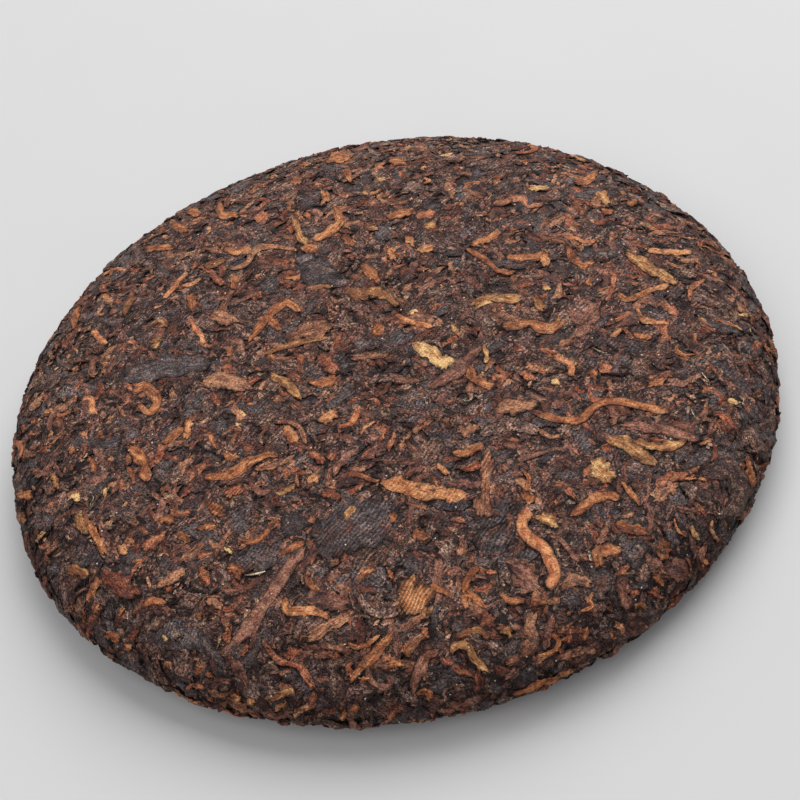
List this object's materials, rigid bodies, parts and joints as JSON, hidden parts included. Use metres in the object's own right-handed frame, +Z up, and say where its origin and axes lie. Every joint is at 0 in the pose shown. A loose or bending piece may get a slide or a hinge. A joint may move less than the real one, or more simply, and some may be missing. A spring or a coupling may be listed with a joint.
{
  "type": "pressed tea cake",
  "caption": "Round pressed cake of dark fermented tea: a low domed disc of flattened leaves and stems with a rounded rim and a dimpled flat underside.",
  "frame": {"origin": "middle of the cake's box on the plane it rests on", "axes": "+Z up through the middle of the domed face, +X to the right in the picture, +Y away from its viewer"},
  "size_m": [0.109, 0.109, 0.0162],
  "materials": {
    "pressed_tea": "matte"
  },
  "bodies": {
    "root": {"tea_cake": "pressed_tea"}
  },
  "joints": []
}
